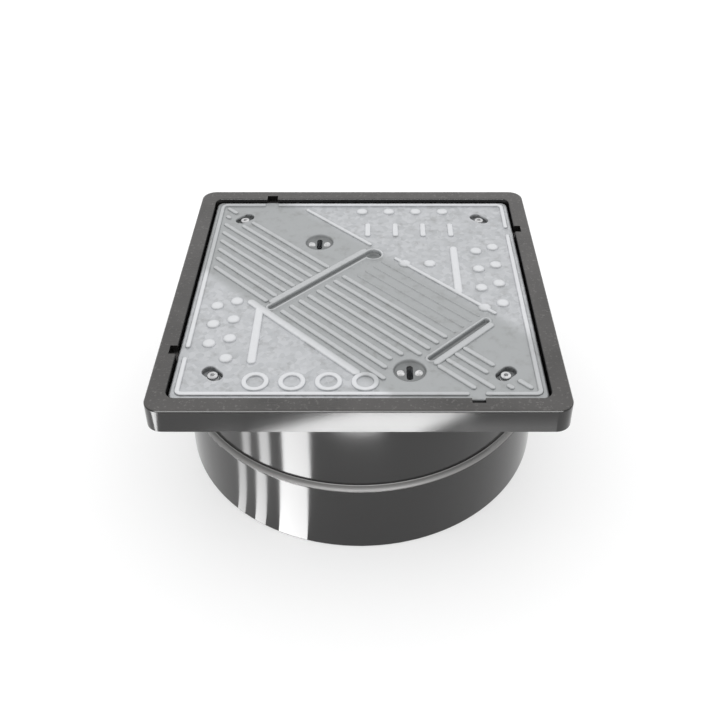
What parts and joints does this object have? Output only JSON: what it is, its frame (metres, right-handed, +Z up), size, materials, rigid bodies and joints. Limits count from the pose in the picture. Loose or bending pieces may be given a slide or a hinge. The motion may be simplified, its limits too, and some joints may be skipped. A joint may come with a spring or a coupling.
{
  "type": "manhole cover",
  "caption": "Square pressed-steel inspection cover with diagonal anti-slip ribs, screwed into a square rim above a deep round skirt that slips over a chamber shaft.",
  "frame": {"origin": "on the shaft's axis at the skirt's lower edge", "axes": "+Z up out of the ground, front side of the frame towards -Y, +X to the right"},
  "size_m": [0.5, 0.5, 0.24],
  "materials": {
    "black_polypropylene": "moulded, glossy",
    "galvanised_steel": "hot-dip galvanised, worn bright on the tread",
    "neoprene": "matt, closed cell",
    "brass": "turned",
    "stainless_steel": "bright",
    "nylon": "natural"
  },
  "bodies": {
    "frame": {"frame_moulding": "black_polypropylene", "lid_gasket": "neoprene", "insert_front_left": "brass", "insert_front_right": "brass", "insert_back_right": "brass", "insert_back_left": "brass"},
    "lid": {"lid_plate": "galvanised_steel", "stiffener_left": "galvanised_steel", "stiffener_centre": "galvanised_steel", "stiffener_right": "galvanised_steel", "key_plate_back": "galvanised_steel", "key_plate_front": "galvanised_steel", "key_cup_back": "galvanised_steel", "key_cup_front": "galvanised_steel", "key_rivets_back": "stainless_steel", "key_rivets_front": "stainless_steel", "spacer_front_left": "nylon", "spacer_front_right": "nylon", "spacer_back_right": "nylon", "spacer_back_left": "nylon"},
    "washer_front_left": {"washer_front_left": "stainless_steel"},
    "screw_front_left": {"screw_front_left": "stainless_steel"},
    "washer_front_right": {"washer_front_right": "stainless_steel"},
    "screw_front_right": {"screw_front_right": "stainless_steel"},
    "washer_back_right": {"washer_back_right": "stainless_steel"},
    "screw_back_right": {"screw_back_right": "stainless_steel"},
    "washer_back_left": {"washer_back_left": "stainless_steel"},
    "screw_back_left": {"screw_back_left": "stainless_steel"}
  },
  "joints": [
    {"name": "lid_lift", "type": "slide", "parent": "frame", "child": "lid", "axis": [0, 0, 1], "range_m": [0, 0.2]},
    {"name": "washer_rise_front_left", "type": "slide", "parent": "lid", "child": "washer_front_left", "axis": [0, 0, 1], "range_m": [0, 0.0145]},
    {"name": "screw_turn_front_left", "type": "hinge", "parent": "washer_front_left", "child": "screw_front_left", "pos_m": [-0.178, -0.178, 0.2275], "axis": [0, 0, 1], "range_deg": [0, 4140]},
    {"name": "washer_rise_front_right", "type": "slide", "parent": "lid", "child": "washer_front_right", "axis": [0, 0, 1], "range_m": [0, 0.0145]},
    {"name": "screw_turn_front_right", "type": "hinge", "parent": "washer_front_right", "child": "screw_front_right", "pos_m": [0.178, -0.178, 0.2275], "axis": [0, 0, 1], "range_deg": [0, 4140]},
    {"name": "washer_rise_back_right", "type": "slide", "parent": "lid", "child": "washer_back_right", "axis": [0, 0, 1], "range_m": [0, 0.0145]},
    {"name": "screw_turn_back_right", "type": "hinge", "parent": "washer_back_right", "child": "screw_back_right", "pos_m": [0.178, 0.178, 0.2275], "axis": [0, 0, 1], "range_deg": [0, 4140]},
    {"name": "washer_rise_back_left", "type": "slide", "parent": "lid", "child": "washer_back_left", "axis": [0, 0, 1], "range_m": [0, 0.0145]},
    {"name": "screw_turn_back_left", "type": "hinge", "parent": "washer_back_left", "child": "screw_back_left", "pos_m": [-0.178, 0.178, 0.2275], "axis": [0, 0, 1], "range_deg": [0, 4140]}
  ],
  "couplings": [
    {"joint": "washer_rise_front_left", "follows": "screw_turn_front_left", "m_per_rad": 0.00019894},
    {"joint": "washer_rise_front_right", "follows": "screw_turn_front_right", "m_per_rad": 0.00019894},
    {"joint": "washer_rise_back_right", "follows": "screw_turn_back_right", "m_per_rad": 0.00019894},
    {"joint": "washer_rise_back_left", "follows": "screw_turn_back_left", "m_per_rad": 0.00019894}
  ]
}
